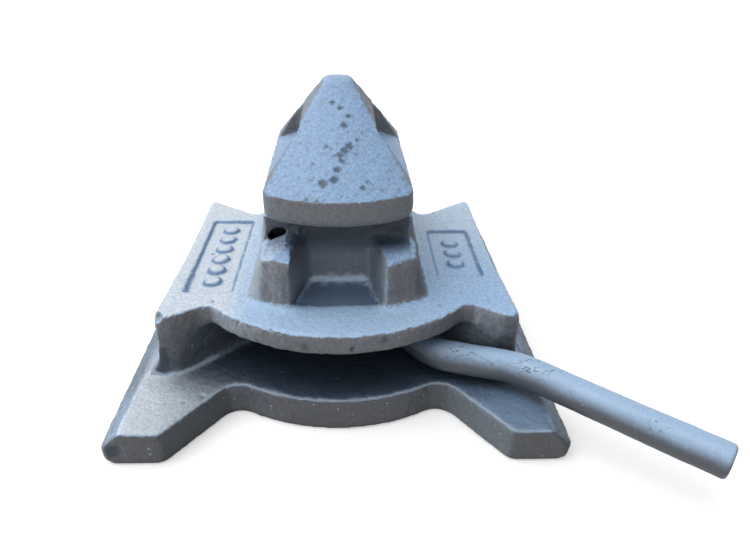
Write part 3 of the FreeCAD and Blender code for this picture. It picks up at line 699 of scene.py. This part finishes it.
def sprayed(name, coat_values, sand_values, bump, roughness, chips,
            scuffs=False, light_layers=False, shading_share=1.0, flaking=0.0):
    """Silver spray over steel: coat tone with painted light, painted shade in hollows and
    creases, chips, pits and grain, painted glints.

    bump is the grain's height in metres, chips the strength of worn edges; scuffs
    and the next flag say whether scuffs, or painted shade and highlights, are painted on its
    points.
    """
    material = bpy.data.materials.new(name)
    material.use_nodes = True
    tree = material.node_tree
    tree.nodes.clear()
    groups = []
    for group, values in ((coat, coat_values), (sand, sand_values), (shade_and_wear, {})):
        node = tree.nodes.new("ShaderNodeGroup")
        node.node_tree = group
        for key, value in values.items():
            node.inputs[key].default_value = value
        groups.append(node)
    coat_node, grain_glint_node, shade_wear_node = groups
    color = mix(tree, calc(tree, "MULTIPLY", grain_glint_node.outputs["Fleck"], FLECKS),
                coat_node.outputs["Color"], SHADE_AND_FLECK)
    # Painted shade deep in hollows, in creases and next to other pieces.
    hollow_shade = calc(tree, "MULTIPLY", shade_wear_node.outputs["Hollow Shade"], shading_share)
    color = mix(tree, ramp(tree, hollow_shade, 0.30, 0.66), color, SHADE_AND_FLECK)
    color = mix(tree, ramp(tree, hollow_shade, 0.58, 0.95), color, DEEP_SHADE)
    color = mix(tree, calc(tree, "MULTIPLY",
                           ramp(tree, shade_wear_node.outputs["Crease Shade"], 0.16, 0.70), CREASE_SHADING),
                color, CREASE_SHADE)
    gap = calc(tree, "MULTIPLY", shade_wear_node.outputs["Contact Shade"], shading_share)
    color = mix(tree, ramp(tree, gap, 0.50, 0.85), color, DEEP_SHADE)
    color = mix(tree, calc(tree, "MULTIPLY", grain_glint_node.outputs["Pit"], PITS), color, BARE)
    color = mix(tree, calc(tree, "MULTIPLY", shade_wear_node.outputs["Chip"], chips), color, BARE)
    # Painted glints.
    color = mix(tree, calc(tree, "MULTIPLY", grain_glint_node.outputs["Glint"], GLINTS), color, GLINT)
    # Painted shade, painted shade on the marks' sides and painted highlights, kept on the points.
    if light_layers:
        for layer, tone in (("shade", SHADE_NAVY), ("mark_side_shade", MARK_SIDE_TONE), ("painted_highlight", HIGHLIGHT_TONE)):
            mark = put(tree, "ShaderNodeAttribute", attribute_name=layer)
            color = mix(tree, mark.outputs["Fac"], color, tone)
    if flaking:
        flakes = tree.nodes.new("ShaderNodeGroup")
        flakes.node_tree = cracks
        color = mix(tree, calc(tree, "MULTIPLY", flakes.outputs[0], flaking), color,
                    CRACK_LINE)
    if scuffs:
        mark = put(tree, "ShaderNodeAttribute", attribute_name="scuff")
        color = mix(tree, mark.outputs["Fac"], color, SCUFFED)
    relief = put(tree, "ShaderNodeBump", {"Height": grain_glint_node.outputs["Height"],
                                          "Strength": RELIEF, "Distance": bump})
    shader = put(tree, "ShaderNodeBsdfPrincipled",
                 {"Base Color": color, "Roughness": roughness, "Normal": relief.outputs[0]})
    out = tree.nodes.new("ShaderNodeOutputMaterial")
    tree.links.new(shader.outputs[0], out.inputs[0])
    return material


cast_paint = sprayed("sprayed_casting_painted_light", {}, {}, bump=0.6 * MM, roughness=0.50, chips=0.55,
                     light_layers=True)
housing.data.materials.append(cast_paint)

# ---- Cone spindle ------------------------------------------------------------
# Forged in one piece with its shaft: a flat-sided pyramid head on a round shaft
# that turns in the collar. The front facet carries a string of scuffs and small
# pock marks; ridges and band corners are worn to a narrow grey edge.
SPINDLE_VOXEL = 0.6 * MM
SPINDLE_TRIANGLES = 150000
FORGE_SIZE = 6 * MM
FORGE_HEIGHT = 0.16 * MM
SCALE_SIZE = 1.9 * MM
SCALE_HEIGHT = 0.11 * MM
HEAD_ABOVE_SEAT = 30 * MM
TIP_HEIGHT = 5.5 * MM
TIP_ROUNDS = 30
# The front facet's foot and top in depth and height. Scuffs lie across and up it
# with a radius, pocks across and up it: a shallow pit with a raised middle.
FACET_FOOT = (-47.6, 84.2)
FACET_TOP = (-6.0, 116.0)
FACET_IN = (0, 0.6, -0.8)
SCUFF_DEPTH = 0.2
SCUFF_EDGE = 0.9 * MM
POCK_R = 1.5
POCK_DEPTH = 0.45
POCK_MIDDLE_R = 0.7
POCK_MIDDLE_RISE = -0.35
BURR_PLACE = (1.5, -48.2, 80.5)
BURR_R = 2.6
BURR_HEIGHT = 0.8
SCUFFS = ((4.6, 0.45, 1.9), (2.7, 0.41, 1.7), (1.2, 0.37, 1.5), (1.8, 0.33, 1.2),
          (0.0, 0.255, 1.6), (-0.9, 0.18, 1.9), (-4.9, 0.15, 1.9), (2.6, 0.62, 1.5),
          (4.4, 0.70, 1.3), (1.0, 0.77, 1.2), (-1.9, 0.82, 1.2), (9.4, 0.57, 1.2),
          (7.5, 0.50, 1.1), (11.0, 0.17, 1.3), (9.2, 0.12, 1.2), (-19.0, 0.04, 0.9),
          (-16.4, 0.035, 1.1), (-13.7, 0.02, 0.9), (-10.8, 0.025, 1.0), (-7.0, 0.015, 0.8),
          (19.6, 0.34, 1.0), (18.6, 0.39, 0.9), (22.8, 0.10, 0.9))
POCKS = ((-11.0, 0.42), (-8.6, 0.30), (-11.5, 0.24), (-13.6, 0.19), (-9.2, 0.17),
         (-3.8, 0.43), (-2.2, 0.41), (-0.5, 0.36), (-11.6, 0.55), (3.0, 0.30))


def on_facet(across, up):
    """Point on the front facet from its foot (0) to its top (1)."""
    depth = FACET_FOOT[0] + (FACET_TOP[0] - FACET_FOOT[0]) * up
    rise = FACET_FOOT[1] + (FACET_TOP[1] - FACET_FOOT[1]) * up
    return Vector((across, depth, rise)) * MM


skin = even_skin("cone_spindle", "spindle_forging", SPINDLE_VOXEL, 2)
head_low = seat + HEAD_ABOVE_SEAT
head_top = max(vert.co.z for vert in skin.verts)
for _ in range(TIP_ROUNDS):
    tip = [vert for vert in skin.verts if vert.co.z > head_top - TIP_HEIGHT]
    bmesh.ops.smooth_vert(skin, verts=tip, factor=0.5, use_axis_x=True,
                          use_axis_y=True, use_axis_z=True)


def on_head(vert):
    """The head alone, because the shaft under it is turned smooth."""
    return 1.0 if vert.co.z > head_low else 0.0


roughen(skin, FORGE_SIZE, FORGE_HEIGHT, on_head)
roughen(skin, SCALE_SIZE, SCALE_HEIGHT, on_head)
for across, up in POCKS:
    dent(skin, on_facet(across, up) / MM, POCK_R, POCK_DEPTH, FACET_IN)
    dent(skin, on_facet(across, up) / MM, POCK_MIDDLE_R, POCK_MIDDLE_RISE, FACET_IN)
for across, up, radius in SCUFFS:
    dent(skin, on_facet(across, up) / MM, radius, SCUFF_DEPTH, FACET_IN)
# A burr stands out from the front of the head's band.
dent(skin, BURR_PLACE, BURR_R, -BURR_HEIGHT, (0.3, 1, 0))
spindle = finish_skin(skin, "spindle_forging", "cone_spindle", SPINDLE_TRIANGLES)
scuff = spindle.data.attributes.new("scuff", "FLOAT", "POINT")
for index, vert in enumerate(spindle.data.vertices):
    mark = 0.0
    for across, up, radius in SCUFFS:
        gap = (vert.co - on_facet(across, up)).length / (radius * MM)
        if gap < 1.3:
            ragged = noise.noise(vert.co / SCUFF_EDGE) * 0.5
            mark = max(mark, min(1.0, max(0.0, (1.0 - gap + ragged) * 3)))
    scuff.data[index].value = mark
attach(spindle, "spindle_body")
# The forging's coat: a darker painted sky reflection, less painted light from the left.
forged_paint = sprayed("sprayed_forging_painted_light",
                       {"Sky Lit From": 0.50, "Sky Lit To": 0.80, "Painted Light": 0.30, "Waver": 0.7,
                        "Sky Reflection": (0.235, 0.365, 0.565, 1),
                        "Left Face": (0.16, 0.18, 0.21, 1)},
                       {"Grain": 1100.0, "Pit Amount": 0.35},
                       bump=0.35 * MM, roughness=0.50, chips=0.45, scuffs=True)
spindle.data.materials.append(forged_paint)

# ---- Handle ------------------------------------------------------------------
# Round bar, bent twice while hot so that it clears the base's foot, with its
# outer end sawn square and its inner end turned down to sit in the hub.
HANDLE_VOXEL = 0.42 * MM
HANDLE_TRIANGLES = 120000
BAR_END_X = 117 * MM
SPIGOT_END_R = 36 * MM
skin = even_skin("handle", "bar_handle", HANDLE_VOXEL, 1)
melt(skin, 3, lambda co: co.x < BAR_END_X)


def bare_bar(vert):
    """The bar outside the hub, because the spigot in it is turned smooth."""
    return 1.0 if math.hypot(vert.co.x, vert.co.y) > SPIGOT_END_R else 0.0


# Long waves from bending and fine scale from rolling.
for size, height in ((14 * MM, 0.22 * MM), (4 * MM, 0.05 * MM)):
    roughen(skin, size, height, bare_bar)
handle = finish_skin(skin, "bar_handle", "handle", HANDLE_TRIANGLES)
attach(handle, "spindle_body")

# Darker at the sawn end, and painted shade where the bar goes into the dark of the slot.
BAR_WAY = (0.817, -0.577)
BAR_TONE = (0.105, 0.12, 0.145, 1)
SAWN_DARK = 0.6
SLOT_DARK = 0.7
bar_end = max(vert.co.x * BAR_WAY[0] + vert.co.y * BAR_WAY[1]
              for vert in handle.data.vertices) / MM
shade = handle.data.attributes.new("shade", "FLOAT", "POINT")
for index, vert in enumerate(handle.data.vertices):
    x, y = vert.co.x / MM, vert.co.y / MM
    along = x * BAR_WAY[0] + y * BAR_WAY[1]
    sawn = SAWN_DARK * between(along, bar_end - 1.0, bar_end - 0.4)
    shade.data[index].value = max(sawn, SLOT_DARK * between(math.hypot(x, y), 86, 64))
# The bar's painted sky reflection fades towards its underside; its cracks are the paint's own.
bar_paint = sprayed("sprayed_bar_painted_light",
                    {"Sky Lit From": 0.08, "Sky Lit To": 1.0, "Painted Light": 0.5,
                     "Sky Reflection": (0.33, 0.475, 0.67, 1), "Face": BAR_TONE,
                     "Left Face": BAR_TONE, "Right Face": BAR_TONE,
                     "Waver": 0.25, "Speckle": 0.3},
                    {"Grain": 420.0, "Pits": 260.0, "Pit Amount": 0.5},
                    bump=0.05 * MM, roughness=0.40, chips=0.0,
                    shading_share=0.35, light_layers=True, flaking=0.8)
handle.data.materials.append(bar_paint)

# ---- Hub and small pieces ----------------------------------------------------
# Inside the slot: the steel hub that carries the handle, its slit roll pin, the
# hardened washer above it and the disc spring below. A second pin, driven into the
# collar, keeps the spindle in. All are turned or bought, and got only overspray.
# Their coats carry a dimmer painted sky reflection and painted light.
inner_paint = sprayed("overspray_steel_painted_light",
                      {"Sky Reflection": (0.20, 0.25, 0.32, 1), "Lit White": (0.26, 0.30, 0.36, 1)},
                      {"Grain": 700.0, "Pit Amount": 0.3},
                      bump=0.2 * MM, roughness=0.5, chips=0.4)
pin_steel = sprayed("oiled_pin_steel_painted_light",
                    {"Sky Reflection": (0.16, 0.19, 0.23, 1), "Lit White": (0.2, 0.22, 0.25, 1),
                     "Face": (0.09, 0.09, 0.1, 1)},
                    {"Grain": 1500.0, "Pit Amount": 0.1},
                    bump=0.05 * MM, roughness=0.35, chips=0.3)
for name, material in (("handle_hub", inner_paint), ("thrust_washer", inner_paint),
                       ("disc_spring", pin_steel), ("handle_roll_pin", pin_steel),
                       ("spindle_retaining_pin", pin_steel)):
    nodes[name].data.materials.clear()
    nodes[name].data.materials.append(material)

# ---- Studio ------------------------------------------------------------------
# Pale floor and white surroundings with soft lamps above the left shoulder, and
# a camera looking down at the lock from the handle's side.
FLOOR_HALF = 8.0
FLOOR_GREY = (0.82, 0.82, 0.82, 1)
FLOOR_SINK = 0.2 * MM
GLOW_NEAR = 0.38
GLOW_FAR = 0.62
GLOW_FROM = 0.22
GLOW_TO = 0.90
WORLD_LIGHT = 0.56
WHITE = (1, 1, 1, 1)
bm = bmesh.new()
bmesh.ops.create_grid(bm, x_segments=1, y_segments=1, size=FLOOR_HALF)
mesh = bpy.data.meshes.new("floor")
bm.to_mesh(mesh)
bm.free()
floor = bpy.data.objects.new("floor", mesh)
floor.location.z = -FLOOR_SINK
scene.collection.objects.link(floor)
floor_paint = bpy.data.materials.new("pale_floor")
floor_paint.use_nodes = True
tree = floor_paint.node_tree
tree.nodes.clear()
path = tree.nodes.new("ShaderNodeLightPath")
matt = put(tree, "ShaderNodeBsdfDiffuse", {"Color": FLOOR_GREY})
away = put(tree, "ShaderNodeVectorMath",
           {0: tree.nodes.new("ShaderNodeTexCoord").outputs["Object"]}, operation="LENGTH")
away = put(tree, "ShaderNodeMapRange", {0: away.outputs["Value"], 1: GLOW_FROM, 2: GLOW_TO,
                                        3: GLOW_NEAR, 4: GLOW_FAR})
glow = put(tree, "ShaderNodeEmission",
           {"Color": WHITE,
            "Strength": calc(tree, "MULTIPLY", path.outputs["Is Camera Ray"],
                             away.outputs[0])})
both = put(tree, "ShaderNodeAddShader", {0: matt.outputs[0], 1: glow.outputs[0]})
behind = put(tree, "ShaderNodeMixShader",
             {0: tree.nodes.new("ShaderNodeNewGeometry").outputs["Backfacing"],
              1: both.outputs[0],
              2: tree.nodes.new("ShaderNodeBsdfTransparent").outputs[0]})
tree.links.new(behind.outputs[0], tree.nodes.new("ShaderNodeOutputMaterial").inputs[0])
mesh.materials.append(floor_paint)

world = bpy.data.worlds.new("surround")
scene.world = world
world.use_nodes = True
tree = world.node_tree
tree.nodes.clear()
path = tree.nodes.new("ShaderNodeLightPath")
seen = calc(tree, "MAXIMUM", path.outputs["Is Camera Ray"], path.outputs["Is Glossy Ray"])
seen = calc(tree, "MAXIMUM", seen, path.outputs["Is Transmission Ray"])
lit = put(tree, "ShaderNodeBackground", {"Color": WHITE, "Strength": WORLD_LIGHT})
shown = put(tree, "ShaderNodeBackground", {"Color": WHITE, "Strength": 1.0})
both = put(tree, "ShaderNodeMixShader", {0: seen, 1: lit.outputs[0], 2: shown.outputs[0]})
tree.links.new(both.outputs[0], tree.nodes.new("ShaderNodeOutputWorld").inputs[0])


LOCK_MIDDLE = (0, 0, 0.04)


def lamp(name, place, size, watts):
    """Square soft lamp aimed at the lock."""
    light = bpy.data.lights.new(name, "AREA")
    light.size = size
    light.energy = watts
    lamp_object = bpy.data.objects.new(name, light)
    scene.collection.objects.link(lamp_object)
    lamp_object.location = place
    aim = Vector(LOCK_MIDDLE) - Vector(place)
    lamp_object.rotation_euler = aim.to_track_quat("-Z", "Y").to_euler()


lamp("key_lamp", place=(-1.1, 0.1, 2.2), size=2.6, watts=43.0)
lamp("fill_lamp", place=(-1.2, -1.9, 1.7), size=1.6, watts=7.0)

EYE = (0.00393, -0.23752, 0.16712)
PITCH = math.radians(30.26)
YAW = math.radians(1.6)
ROLL = math.radians(0.62)
SENSOR_MM = 36.0
LENS_MM = 28.51
SHIFT = (0.0165, -0.0046)
NEAREST = 0.01
forward = Vector((math.sin(YAW) * math.cos(PITCH), math.cos(YAW) * math.cos(PITCH),
                  -math.sin(PITCH)))
across = forward.cross(Vector((0, 0, 1))).normalized()
upright = across.cross(forward)
right = across * math.cos(ROLL) + upright * math.sin(ROLL)
upward = upright * math.cos(ROLL) - across * math.sin(ROLL)
camera = bpy.data.objects.new("camera", bpy.data.cameras.new("camera"))
scene.collection.objects.link(camera)
turn = Matrix((right, upward, -forward)).transposed().to_4x4()
camera.matrix_world = Matrix.Translation(EYE) @ turn
camera.data.sensor_width = SENSOR_MM
camera.data.lens = LENS_MM
camera.data.shift_x, camera.data.shift_y = SHIFT
camera.data.clip_start = NEAREST
scene.camera = camera
scene.view_settings.view_transform = "Standard"
